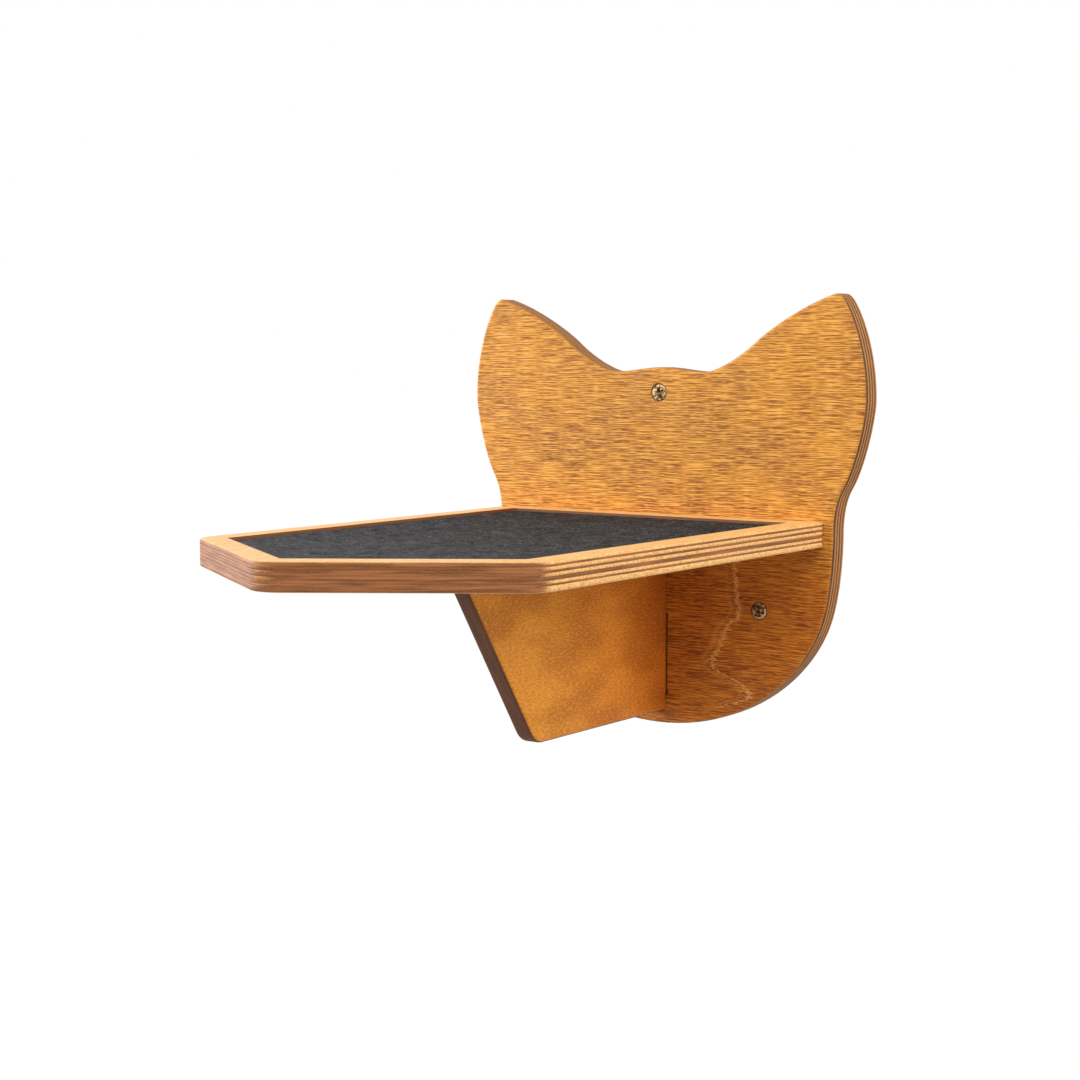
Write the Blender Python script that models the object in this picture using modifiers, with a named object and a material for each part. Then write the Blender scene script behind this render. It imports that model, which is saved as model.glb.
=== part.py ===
"""Cat wall step: a cat-head back plate, a carpeted pentagon shelf and a bracket under it.

The boards are birch plywood. The back plate stands against the wall, the shelf butts against
its front face, and the bracket stands under the shelf on its centre line with a tenon that
passes through the plate. A carpet pad lies in a pocket in the shelf's top, inside a wooden rim.
Wood screws hold the boards together, and three more hold the plate to the wall.

Units are metres and +Z is up. The origin is on the plate's rear face, on its centre line, at
the level of the shelf's top. The shelf reaches out along -Y.
"""
import math

import bmesh
import bpy
from mathutils import Vector

# Back plate, cut to the outline of a cat's head
PLATE_THICKNESS = 0.012
PLATE_HALF_WIDTH = 0.1164
EAR_RISE = 0.1106
CHIN_DROP = 0.108
PLATE_EDGE_ROUNDING = 0.0015

# Shelf, a pentagon with its point to the front
SHELF_THICKNESS = 0.0125
SHELF_HALF_WIDTH = 0.0942
SHELF_SIDE_LENGTH = 0.2346
SHELF_REACH = 0.2976
SHELF_CORNER_RADIUS = 0.015
SHELF_EDGE_ROUNDING = 0.0012

# Carpet pad and the pocket that it lies in
RIM_WIDTH = 0.0122
POCKET_DEPTH = 0.004
POCKET_CORNER_RADIUS = 0.0015
CARPET_THICKNESS = 0.003
CARPET_SIDE_GAP = 0.0005
CARPET_CORNER_RADIUS = 0.003

# Bracket and its tenon
BRACKET_THICKNESS = 0.010
BRACKET_TOP_REACH = 0.1736
BRACKET_FOOT_REACH = 0.114
BRACKET_DROP = 0.1013
BRACKET_CORNER_RADIUS = 0.012
BRACKET_EDGE_ROUNDING = 0.002
TENON_TOP_DROP = 0.0515
TENON_HEIGHT = 0.041
TENON_SIDE_GAP = 0.0006
MORTISE_CUTTER_RADIUS = 0.0017

# Wall screws
WALL_SCREW_DIAMETER = 0.0045
WALL_SCREW_HEAD_DIAMETER = 0.0086
WALL_SCREW_LENGTH = 0.045
WALL_SCREW_TOP_RISE = 0.0615
WALL_SCREW_LOWER_DROP = 0.046
WALL_SCREW_LOWER_SPREAD = 0.059

# Assembly screws
JOINT_SCREW_DIAMETER = 0.004
JOINT_SCREW_HEAD_DIAMETER = 0.0076
REAR_SCREW_LENGTH = 0.040
REAR_SCREW_SPREAD = 0.062
REAR_SCREW_BRACKET_DROP = 0.0345
DOWN_SCREW_LENGTH = 0.030
DOWN_SCREW_FIRST_REACH = 0.056
DOWN_SCREW_SECOND_REACH = 0.132

# Common to all the screws
SCREW_RIM_HEIGHT = 0.0004
SCREW_POINT_LENGTH = 0.006
SCREW_SINK = 0.0003
SCREW_CLEARANCE = 0.0003
BORE_END_ROOM = 0.001

# Gap between pieces that touch, and how far a cut runs past a face
SEAT_GAP = 0.0003
CUT_OVERRUN = 0.001
WELD_DISTANCE = 0.00001

# Fineness of the round shapes
HEAD_CURVE_RESOLUTION = 9
CORNER_STEPS = 8
RELIEF_STEPS = 8
ROUNDING_SEGMENTS = 2
SCREW_STEPS = 24
SHARP_ANGLE = math.radians(35)
FLAT_ANGLE = math.radians(0.5)

# Right half of the cat's head, from the crown round the ear and the cheek to the chin. Each
# row is a knot with the handle before it and the handle after it. Widths are shares of the
# half width, and heights are shares of the ear rise or, below zero, of the chin drop.
HEAD_OUTLINE_SHARES = [
    ((0.000, 0.672), (-0.072, 0.672), (0.072, 0.672)),
    ((0.233, 0.652), (0.152, 0.652), (0.272, 0.652)),
    ((0.469, 0.780), (0.386, 0.706), (0.548, 0.850)),
    ((0.848, 0.993), (0.717, 0.953), (0.867, 0.999)),
    ((0.894, 0.967), (0.882, 0.984), (0.934, 0.907)),
    ((1.000, 0.533), (1.000, 0.738), (1.000, 0.452)),
    ((0.899, 0.145), (0.954, 0.242), (0.870, 0.095)),
    ((0.858, -0.061), (0.858, 0.026), (0.858, -0.154)),
    ((0.815, -0.443), (0.849, -0.318), (0.746, -0.703)),
    ((0.000, -1.000), (0.453, -1.000), (-0.453, -1.000)),
]

# Places that several pieces share
PLATE_FRONT = -PLATE_THICKNESS
SHELF_UNDERSIDE = -SHELF_THICKNESS
POCKET_FLOOR = -POCKET_DEPTH
SHELF_REAR = PLATE_FRONT - SEAT_GAP
BRACKET_TOP = SHELF_UNDERSIDE - SEAT_GAP


def clear_scene():
    for old in list(bpy.data.objects):
        bpy.data.objects.remove(old, do_unlink=True)


def new_collection(name):
    collection = bpy.data.collections.new(name)
    bpy.context.scene.collection.children.link(collection)
    return collection


def new_material(name, color, roughness, metallic):
    material = bpy.data.materials.new(name)
    material.use_nodes = True
    shader = material.node_tree.nodes["Principled BSDF"]
    shader.inputs["Base Color"].default_value = (*color, 1.0)
    shader.inputs["Roughness"].default_value = roughness
    shader.inputs["Metallic"].default_value = metallic
    return material


def shade_round(mesh):
    mesh.shade_smooth()
    mesh.set_sharp_from_angle(angle=SHARP_ANGLE)


def as_mesh_object(source, collection):
    """Replace a curve or a turned profile with its evaluated mesh, welded and facing out."""
    bpy.context.view_layer.update()
    evaluated = source.evaluated_get(bpy.context.evaluated_depsgraph_get())
    mesh = bpy.data.meshes.new_from_object(evaluated)
    bm = bmesh.new()
    bm.from_mesh(mesh)
    bmesh.ops.remove_doubles(bm, verts=bm.verts, dist=WELD_DISTANCE)
    bmesh.ops.dissolve_limit(bm, angle_limit=FLAT_ANGLE, verts=bm.verts, edges=bm.edges)
    bmesh.ops.recalc_face_normals(bm, faces=bm.faces)
    bm.to_mesh(mesh)
    bm.free()
    name = source.name
    matrix = source.matrix_world.copy()
    old_data = source.data
    bpy.data.objects.remove(source, do_unlink=True)
    if isinstance(old_data, bpy.types.Curve):
        bpy.data.curves.remove(old_data)
    else:
        bpy.data.meshes.remove(old_data)
    mesh.name = name
    piece = bpy.data.objects.new(name, mesh)
    piece.matrix_world = matrix
    collection.objects.link(piece)
    shade_round(mesh)
    return piece


def flat_board(name, curve, thickness, location, rotation, collection):
    """Make a solid board of a closed 2D curve, centred on the curve's plane."""
    curve.dimensions = "2D"
    curve.fill_mode = "BOTH"
    curve.extrude = thickness / 2
    outline = bpy.data.objects.new(name, curve)
    outline.location = location
    outline.rotation_euler = rotation
    collection.objects.link(outline)
    return as_mesh_object(outline, collection)


def polygon_curve(name, points):
    curve = bpy.data.curves.new(name, "CURVE")
    spline = curve.splines.new("POLY")
    spline.points.add(len(points) - 1)
    for point, (x, y) in zip(spline.points, points):
        point.co = (x, y, 0, 1)
    spline.use_cyclic_u = True
    return curve


def head_height(share):
    return share * (EAR_RISE if share > 0 else CHIN_DROP)


def head_curve():
    """The cat's head: the right half of the table, then the same knots mirrored on the left."""
    right = [
        [Vector((x * PLATE_HALF_WIDTH, head_height(z), 0)) for x, z in knot]
        for knot in HEAD_OUTLINE_SHARES
    ]
    mirror = Vector((-1, 1, 1))
    left = [
        [knot[0] * mirror, knot[2] * mirror, knot[1] * mirror]
        for knot in reversed(right[1:-1])
    ]
    curve = bpy.data.curves.new("cat_head", "CURVE")
    curve.resolution_u = HEAD_CURVE_RESOLUTION
    spline = curve.splines.new("BEZIER")
    spline.bezier_points.add(len(right) + len(left) - 1)
    for point, (place, before, after) in zip(spline.bezier_points, right + left):
        point.handle_left_type = "FREE"
        point.handle_right_type = "FREE"
        point.co = place
        point.handle_left = before
        point.handle_right = after
    spline.use_cyclic_u = True
    return curve


def rounded_outline(corners):
    """Turn corners (x, y, radius) into outline points, each rounded corner as an arc."""
    points = []
    for index, (x, y, radius) in enumerate(corners):
        corner = Vector((x, y))
        if radius == 0:
            points.append((x, y))
            continue
        before = Vector(corners[index - 1][:2])
        after = Vector(corners[(index + 1) % len(corners)][:2])
        to_before = (before - corner).normalized()
        to_after = (after - corner).normalized()
        half_angle = to_before.angle(to_after) / 2
        middle = (to_before + to_after).normalized()
        centre = corner + middle * radius / math.sin(half_angle)
        start = corner + to_before * radius / math.tan(half_angle) - centre
        end = corner + to_after * radius / math.tan(half_angle) - centre
        turn = start.angle_signed(end)
        for step in range(CORNER_STEPS + 1):
            angle = -turn * step / CORNER_STEPS
            points.append((
                centre.x + start.x * math.cos(angle) - start.y * math.sin(angle),
                centre.y + start.x * math.sin(angle) + start.y * math.cos(angle),
            ))
    return points


def inset_corners(corners, distance, radius):
    """Move each side of a counterclockwise outline inwards and round the new corners."""
    inner = []
    for index, (x, y, _) in enumerate(corners):
        corner = Vector((x, y))
        before = Vector(corners[index - 1][:2])
        after = Vector(corners[(index + 1) % len(corners)][:2])
        along_in = (corner - before).normalized()
        along_out = (after - corner).normalized()
        inward_in = Vector((-along_in.y, along_in.x))
        inward_out = Vector((-along_out.y, along_out.x))
        bisector = (inward_in + inward_out).normalized()
        moved = corner + bisector * distance / bisector.dot(inward_in)
        inner.append((moved.x, moved.y, radius))
    return inner


def relieved_rectangle(width, height, relief_radius):
    """A rectangle whose corners a round cutter has relieved: a half circle through each one."""
    shift = relief_radius / math.sqrt(2)
    points = []
    for quarter, (side_x, side_y) in enumerate(((1, 1), (-1, 1), (-1, -1), (1, -1))):
        centre_x = side_x * (width / 2 - shift)
        centre_y = side_y * (height / 2 - shift)
        for step in range(RELIEF_STEPS + 1):
            angle = math.radians(quarter * 90 - 45) + math.pi * step / RELIEF_STEPS
            points.append((
                centre_x + relief_radius * math.cos(angle),
                centre_y + relief_radius * math.sin(angle),
            ))
    return points


def round_free_edges(piece, radius, half_thickness, is_free):
    """Round the rim edges of a board where its middle point says that the edge is free."""
    mesh = piece.data
    weights = mesh.attributes.new("bevel_weight_edge", "FLOAT", "EDGE")
    for edge in mesh.edges:
        first = mesh.vertices[edge.vertices[0]].co
        second = mesh.vertices[edge.vertices[1]].co
        middle = (first + second) / 2
        on_rim = abs(abs(middle.z) - half_thickness) < WELD_DISTANCE
        weights.data[edge.index].value = 1.0 if on_rim and is_free(middle) else 0.0
    rounding = piece.modifiers.new("rounded_edges", "BEVEL")
    rounding.width = radius
    rounding.segments = ROUNDING_SEGMENTS
    rounding.limit_method = "WEIGHT"


def turned(name, profile, location, rotation, collection):
    """Turn a profile of (radius, height) points, top to bottom, into a closed solid."""
    mesh = bpy.data.meshes.new(name)
    edges = [(index, index + 1) for index in range(len(profile) - 1)]
    mesh.from_pydata([(radius, 0, height) for radius, height in profile], edges, [])
    outline = bpy.data.objects.new(name, mesh)
    outline.location = location
    outline.rotation_euler = rotation
    collection.objects.link(outline)
    screw = outline.modifiers.new("turn", "SCREW")
    screw.steps = SCREW_STEPS
    screw.render_steps = SCREW_STEPS
    screw.use_merge_vertices = True
    screw.merge_threshold = WELD_DISTANCE
    return as_mesh_object(outline, collection)


def screw_profile(diameter, head_diameter, length):
    """A countersunk wood screw with its head's face at height 0 and its point downwards."""
    radius = diameter / 2
    head_radius = head_diameter / 2
    cone_foot = SCREW_RIM_HEIGHT + head_radius - radius
    return [
        (0, 0),
        (head_radius, 0),
        (head_radius, -SCREW_RIM_HEIGHT),
        (radius, -cone_foot),
        (radius, SCREW_POINT_LENGTH - length),
        (0, -length),
    ]


def screw_hole_profile(diameter, head_diameter, length):
    """The countersink and bore that clear such a screw, from above the face to past its point."""
    radius = diameter / 2 + SCREW_CLEARANCE
    head_radius = head_diameter / 2 + SCREW_CLEARANCE
    cone_foot = SCREW_RIM_HEIGHT + head_radius - radius
    mouth = SCREW_SINK + CUT_OVERRUN
    return [
        (0, mouth),
        (head_radius + mouth + SCREW_RIM_HEIGHT, mouth),
        (radius, -cone_foot),
        (radius, -length - BORE_END_ROOM),
        (0, -length - BORE_END_ROOM),
    ]


def cut(piece, cutter):
    cutter.hide_render = True
    cutter.display_type = "WIRE"
    boolean = piece.modifiers.new("cut_" + cutter.name, "BOOLEAN")
    boolean.operation = "DIFFERENCE"
    boolean.solver = "EXACT"
    boolean.object = cutter


def add_screw(name, sizes, location, rotation, material, pieces_it_enters):
    """Put in one screw and cut its countersink and bore in the pieces that it enters."""
    screw = turned(name, screw_profile(*sizes), location, rotation, parts)
    screw.data.materials.append(material)
    hole = turned(name + "_hole", screw_hole_profile(*sizes), location, rotation, cutters)
    for piece in pieces_it_enters:
        cut(piece, hole)
    return screw


clear_scene()
parts = new_collection("cat_wall_step")
cutters = new_collection("cutters")

birch_face = new_material("stained_birch", (0.53, 0.24, 0.06), 0.55, 0.0)
birch_shelf = new_material("stained_birch_shelf", (0.60, 0.31, 0.11), 0.55, 0.0)
birch_bracket = new_material("stained_birch_bracket", (0.48, 0.21, 0.05), 0.55, 0.0)
carpet_grey = new_material("charcoal_needle_felt", (0.035, 0.035, 0.038), 0.95, 0.0)
yellow_zinc = new_material("yellow_zinc_steel", (0.55, 0.45, 0.25), 0.35, 1.0)
plain_zinc = new_material("plain_zinc_steel", (0.60, 0.60, 0.62), 0.35, 1.0)

FACING_FRONT = (math.radians(90), 0, 0)
FACING_REAR = (math.radians(-90), 0, 0)
FACING_UP = (0, 0, 0)
SIDE_ON = (math.radians(90), 0, math.radians(90))

# Back plate
back_plate = flat_board(
    "back_plate", head_curve(), PLATE_THICKNESS, (0, PLATE_FRONT / 2, 0), FACING_FRONT, parts
)
back_plate.data.materials.append(birch_face)
round_free_edges(back_plate, PLATE_EDGE_ROUNDING, PLATE_THICKNESS / 2, lambda middle: True)

# Shelf, seen from above, counterclockwise from its rear left corner
shelf_corners = [
    (-SHELF_HALF_WIDTH, SHELF_REAR, 0),
    (-SHELF_HALF_WIDTH, PLATE_FRONT - SHELF_SIDE_LENGTH, SHELF_CORNER_RADIUS),
    (0, PLATE_FRONT - SHELF_REACH, SHELF_CORNER_RADIUS),
    (SHELF_HALF_WIDTH, PLATE_FRONT - SHELF_SIDE_LENGTH, SHELF_CORNER_RADIUS),
    (SHELF_HALF_WIDTH, SHELF_REAR, 0),
]
shelf_board = flat_board(
    "shelf_board",
    polygon_curve("shelf_outline", rounded_outline(shelf_corners)),
    SHELF_THICKNESS,
    (0, 0, SHELF_UNDERSIDE / 2),
    FACING_UP,
    parts,
)
shelf_board.data.materials.append(birch_shelf)
round_free_edges(
    shelf_board,
    SHELF_EDGE_ROUNDING,
    SHELF_THICKNESS / 2,
    lambda middle: middle.y < SHELF_REAR - SHELF_EDGE_ROUNDING,
)

# Pocket for the carpet, which leaves a rim of even width
pocket_corners = inset_corners(shelf_corners, RIM_WIDTH, POCKET_CORNER_RADIUS)
pocket_height = POCKET_DEPTH + CUT_OVERRUN
pocket = flat_board(
    "carpet_pocket",
    polygon_curve("pocket_outline", rounded_outline(pocket_corners)),
    pocket_height,
    (0, 0, POCKET_FLOOR + pocket_height / 2),
    FACING_UP,
    cutters,
)
cut(shelf_board, pocket)

# Carpet pad, laid on the pocket's floor a little below the rim
carpet_corners = inset_corners(shelf_corners, RIM_WIDTH + CARPET_SIDE_GAP, CARPET_CORNER_RADIUS)
carpet_pad = flat_board(
    "carpet_pad",
    polygon_curve("carpet_outline", rounded_outline(carpet_corners)),
    CARPET_THICKNESS,
    (0, 0, POCKET_FLOOR + SEAT_GAP + CARPET_THICKNESS / 2),
    FACING_UP,
    parts,
)
carpet_pad.data.materials.append(carpet_grey)

# Bracket, side on: its tenon runs to the rear, and its front edge slopes back to the foot
tenon_end = -SEAT_GAP
tenon_top = -TENON_TOP_DROP
tenon_foot = tenon_top - TENON_HEIGHT
bracket_corners = [
    (SHELF_REAR, BRACKET_TOP, 0),
    (PLATE_FRONT - BRACKET_TOP_REACH, BRACKET_TOP, 0),
    (PLATE_FRONT - BRACKET_FOOT_REACH, -BRACKET_DROP, BRACKET_CORNER_RADIUS),
    (SHELF_REAR, -BRACKET_DROP, 0),
    (SHELF_REAR, tenon_foot, 0),
    (tenon_end, tenon_foot, 0),
    (tenon_end, tenon_top, 0),
    (SHELF_REAR, tenon_top, 0),
]
support_bracket = flat_board(
    "support_bracket",
    polygon_curve("bracket_outline", rounded_outline(bracket_corners)),
    BRACKET_THICKNESS,
    (0, 0, 0),
    SIDE_ON,
    parts,
)
support_bracket.data.materials.append(birch_bracket)
round_free_edges(
    support_bracket,
    BRACKET_EDGE_ROUNDING,
    BRACKET_THICKNESS / 2,
    lambda middle: middle.x < SHELF_REAR - WELD_DISTANCE and middle.y < BRACKET_TOP - WELD_DISTANCE,
)

# Mortise for the tenon, with its corners relieved by the cutter
mortise = flat_board(
    "mortise",
    polygon_curve(
        "mortise_outline",
        relieved_rectangle(
            BRACKET_THICKNESS + 2 * TENON_SIDE_GAP,
            TENON_HEIGHT + 2 * SEAT_GAP,
            MORTISE_CUTTER_RADIUS,
        ),
    ),
    PLATE_THICKNESS + 2 * CUT_OVERRUN,
    (0, PLATE_FRONT / 2, (tenon_top + tenon_foot) / 2),
    FACING_FRONT,
    cutters,
)
cut(back_plate, mortise)

# Wall screws, one high between the ears and two low beside the bracket
wall_screw_sizes = (WALL_SCREW_DIAMETER, WALL_SCREW_HEAD_DIAMETER, WALL_SCREW_LENGTH)
wall_screw_places = {
    "wall_screw_top": (0, WALL_SCREW_TOP_RISE),
    "wall_screw_left": (-WALL_SCREW_LOWER_SPREAD, -WALL_SCREW_LOWER_DROP),
    "wall_screw_right": (WALL_SCREW_LOWER_SPREAD, -WALL_SCREW_LOWER_DROP),
}
for screw_name, (screw_x, screw_z) in wall_screw_places.items():
    add_screw(
        screw_name,
        wall_screw_sizes,
        (screw_x, PLATE_FRONT + SCREW_SINK, screw_z),
        FACING_FRONT,
        yellow_zinc,
        [back_plate],
    )

# Rear screws, from behind the plate into the bracket's rear edge and the shelf's, where they run
# midway between the pocket's floor and the underside
rear_screw_sizes = (JOINT_SCREW_DIAMETER, JOINT_SCREW_HEAD_DIAMETER, REAR_SCREW_LENGTH)
shelf_screw_height = (POCKET_FLOOR + SHELF_UNDERSIDE) / 2
rear_screw_places = {
    "rear_screw_left": (-REAR_SCREW_SPREAD, shelf_screw_height, shelf_board),
    "rear_screw_right": (REAR_SCREW_SPREAD, shelf_screw_height, shelf_board),
    "rear_screw_bracket": (0, -REAR_SCREW_BRACKET_DROP, support_bracket),
}
for screw_name, (screw_x, screw_z, held_board) in rear_screw_places.items():
    add_screw(
        screw_name,
        rear_screw_sizes,
        (screw_x, -SCREW_SINK, screw_z),
        FACING_REAR,
        plain_zinc,
        [back_plate, held_board],
    )

# Down screws, through the pocket's floor into the bracket's top edge, hidden by the carpet
down_screw_sizes = (JOINT_SCREW_DIAMETER, JOINT_SCREW_HEAD_DIAMETER, DOWN_SCREW_LENGTH)
down_screw_reaches = {
    "down_screw_rear": DOWN_SCREW_FIRST_REACH,
    "down_screw_front": DOWN_SCREW_SECOND_REACH,
}
for screw_name, screw_reach in down_screw_reaches.items():
    add_screw(
        screw_name,
        down_screw_sizes,
        (0, PLATE_FRONT - screw_reach, POCKET_FLOOR - SCREW_SINK),
        FACING_UP,
        plain_zinc,
        [shelf_board, support_bracket],
    )
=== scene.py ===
"""Cat wall step, dressed: stained birch plywood, a needle-felt carpet inlay and zinc wood screws.

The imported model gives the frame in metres: the shelf's top is at z 0, the back plate's rear face
at y 0, and the shelf reaches out along -Y. Each section below makes one piece of the object.
"""
import math

import bmesh
import bpy
import numpy as np
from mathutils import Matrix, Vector
from mathutils.geometry import tessellate_polygon


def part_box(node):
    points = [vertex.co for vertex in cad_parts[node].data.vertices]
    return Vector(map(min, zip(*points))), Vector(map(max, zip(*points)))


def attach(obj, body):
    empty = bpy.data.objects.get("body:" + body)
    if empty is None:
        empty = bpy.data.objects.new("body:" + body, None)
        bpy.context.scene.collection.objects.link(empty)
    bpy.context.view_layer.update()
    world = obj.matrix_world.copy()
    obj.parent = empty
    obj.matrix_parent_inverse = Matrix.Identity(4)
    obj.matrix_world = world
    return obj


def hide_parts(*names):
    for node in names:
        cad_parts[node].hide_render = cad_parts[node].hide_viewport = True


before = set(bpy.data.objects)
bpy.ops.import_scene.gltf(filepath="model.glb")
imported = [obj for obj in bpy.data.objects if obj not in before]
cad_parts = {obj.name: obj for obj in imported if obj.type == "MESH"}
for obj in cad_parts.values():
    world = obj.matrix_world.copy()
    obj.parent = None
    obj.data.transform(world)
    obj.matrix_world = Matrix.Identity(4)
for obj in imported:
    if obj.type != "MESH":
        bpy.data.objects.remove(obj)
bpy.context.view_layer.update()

# Camera
# The photograph looks at the step's right side from a metre away, a little above the shelf,
# through a long lens, so upright edges stay upright.
CAMERA_PLACE = (0.5537, -0.8946, 0.0815)
CAMERA_YAW = 35.42
CAMERA_PITCH = 5.23
CAMERA_LENS = 68.09

lens = bpy.data.cameras.new("photograph_camera")
lens.lens = CAMERA_LENS
camera = bpy.data.objects.new("photograph_camera", lens)
camera.location = CAMERA_PLACE
camera.rotation_euler = (math.radians(90 - CAMERA_PITCH), 0, math.radians(CAMERA_YAW))
bpy.context.scene.collection.objects.link(camera)
bpy.context.scene.camera = camera

# Back plate
# The plate that stands against the wall: nine-ply birch, routed to the outline of a cat's head,
# sanded round at its edges, stained amber and oiled. Its face veneer's grain runs level.
# It comes first, so what the other boards and the screws share with it is defined here.
MM = 0.001
plate_low, plate_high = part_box("back_plate")
PLATE_THICKNESS = plate_high.y - plate_low.y
PLATE_HALF_WIDTH = plate_high.x
EAR_RISE = 0.1106
CHIN_DROP = -plate_low.z
PLATE_ROUNDING = 1.5 * MM
FLAT_MARGIN = 0.6 * MM
ROUNDING_ROWS = 6
HEAD_STEPS = 26
GLUE_LINE_HALF_WIDTH = 0.08 * MM
GLUE_LINE_DEPTH = 0.05 * MM
SHARP_ANGLE = math.radians(38)
WELD_DISTANCE = 0.001 * MM

# Right half of the head, from the crown round the ear and the cheek to the chin, as knots with
# the handle before and the handle after. Widths are shares of the half width, heights shares of
# the ear rise or, below zero, of the chin drop.
HEAD_OUTLINE_SHARES = np.array([
    ((0.000, 0.672), (-0.072, 0.672), (0.072, 0.672)),
    ((0.233, 0.652), (0.152, 0.652), (0.272, 0.652)),
    ((0.469, 0.780), (0.386, 0.706), (0.548, 0.850)),
    ((0.848, 0.993), (0.717, 0.953), (0.867, 0.999)),
    ((0.894, 0.967), (0.882, 0.984), (0.934, 0.907)),
    ((1.000, 0.533), (1.000, 0.738), (1.000, 0.452)),
    ((0.899, 0.145), (0.954, 0.242), (0.870, 0.095)),
    ((0.858, -0.061), (0.858, 0.026), (0.858, -0.154)),
    ((0.815, -0.443), (0.849, -0.318), (0.746, -0.703)),
    ((0.000, -1.000), (0.453, -1.000), (-0.453, -1.000)),
])


def head_outline():
    """Points round the head and the outward direction at each. Between two knots the outline is
    the cubic with weights (1-t)^3, 3t(1-t)^2, 3t^2(1-t) and t^3 on knot, handle, handle, knot."""
    right = HEAD_OUTLINE_SHARES.copy()
    right[..., 0] *= PLATE_HALF_WIDTH
    right[..., 1] *= np.where(right[..., 1] > 0, EAR_RISE, CHIN_DROP)
    left = right[-2:0:-1][:, [0, 2, 1]] * (-1, 1)
    knots = np.concatenate([right, left])
    after = np.roll(knots, -1, 0)
    control = np.stack([knots[:, 0], knots[:, 2], after[:, 1], after[:, 0]], 1)
    t = (np.arange(HEAD_STEPS) / HEAD_STEPS)[:, None]
    weights = np.hstack([(1 - t) ** 3, 3 * t * (1 - t) ** 2, 3 * t**2 * (1 - t), t**3])
    slopes = np.hstack([
        -3 * (1 - t) ** 2,
        3 * (1 - t) ** 2 - 6 * t * (1 - t),
        6 * t * (1 - t) - 3 * t**2,
        3 * t**2,
    ])
    points = np.einsum("ts,ksd->ktd", weights, control).reshape(-1, 2)
    along = np.einsum("ts,ksd->ktd", slopes, control).reshape(-1, 2)
    along /= np.linalg.norm(along, axis=1, keepdims=True)
    return points, np.stack([-along[:, 1], along[:, 0]], 1)


def edge_profile(thickness, rounding, veneers):
    """Rows (inset, depth) over a board's edge: a flat margin, a quarter circle, the side with a
    fine groove at each glue line, a quarter circle and a flat margin again."""
    turn = np.linspace(0, math.pi / 2, ROUNDING_ROWS)
    front = np.stack([rounding * (1 - np.sin(turn)), rounding * (1 - np.cos(turn))], 1)
    rear = np.stack([front[::-1, 0], thickness - front[::-1, 1]], 1)
    glue_lines = np.cumsum(veneers)[:-1] * MM
    margin = rounding + FLAT_MARGIN / 2
    glue_lines = glue_lines[(glue_lines > margin) & (glue_lines < thickness - margin)]
    groove = np.array([(0, -GLUE_LINE_HALF_WIDTH), (GLUE_LINE_DEPTH, 0), (0, GLUE_LINE_HALF_WIDTH)])
    grooves = groove + glue_lines[:, None, None] * (0, 1)
    first = [(rounding + FLAT_MARGIN, 0)]
    last = [(rounding + FLAT_MARGIN, thickness)]
    return np.concatenate([first, front, grooves.reshape(-1, 2), rear, last])


def finished(name, mesh):
    """Weld a mesh, turn its faces outwards, shade it round up to its sharp edges and link it."""
    bm = bmesh.new()
    bm.from_mesh(mesh)
    bmesh.ops.remove_doubles(bm, verts=bm.verts, dist=WELD_DISTANCE)
    bmesh.ops.recalc_face_normals(bm, faces=bm.faces)
    bm.to_mesh(mesh)
    bm.free()
    mesh.shade_smooth()
    mesh.set_sharp_from_angle(angle=SHARP_ANGLE)
    piece = bpy.data.objects.new(name, mesh)
    bpy.context.scene.collection.objects.link(piece)
    return piece


def board(name, bands, caps):
    """A solid of closed bands, arrays of (rows, points, 3) whose rows are joined one to the next,
    and flat caps. A cap is a list of (band, row) loops: the first bounds it and the others are
    holes in it."""
    starts = np.cumsum([0] + [band.shape[0] * band.shape[1] for band in bands])
    corners = np.concatenate([band.reshape(-1, 3) for band in bands])
    indices = [
        start + np.arange(band.shape[0] * band.shape[1]).reshape(band.shape[:2])
        for band, start in zip(bands, starts)
    ]
    faces = []
    for index in indices:
        after = np.roll(index, -1, 1)
        faces += np.stack([index[:-1], after[:-1], after[1:], index[1:]], -1).reshape(-1, 4).tolist()
    for cap in caps:
        loops = [[Vector(point) for point in bands[band][row]] for band, row in cap]
        loop_index = np.concatenate([indices[band][row] for band, row in cap])
        faces += loop_index[np.array(tessellate_polygon(loops))].tolist()
    mesh = bpy.data.meshes.new(name)
    mesh.from_pydata(corners, [], faces)
    return finished(name, mesh)


def cut(piece, cutters):
    """Cut closed shapes out of a piece, apply the cuts and remove the cutters."""
    for cutter in cutters:
        boolean = piece.modifiers.new(cutter.name, "BOOLEAN")
        boolean.operation = "DIFFERENCE"
        boolean.solver = "EXACT"
        boolean.object = cutter
    bpy.context.view_layer.update()
    mesh = bpy.data.meshes.new_from_object(piece.evaluated_get(bpy.context.evaluated_depsgraph_get()))
    piece.modifiers.clear()
    old_mesh = piece.data
    piece.data = mesh
    bpy.data.meshes.remove(old_mesh)
    mesh.name = piece.name
    mesh.shade_smooth()
    mesh.set_sharp_from_angle(angle=SHARP_ANGLE)
    for cutter in cutters:
        bpy.data.objects.remove(cutter, do_unlink=True)


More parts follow.
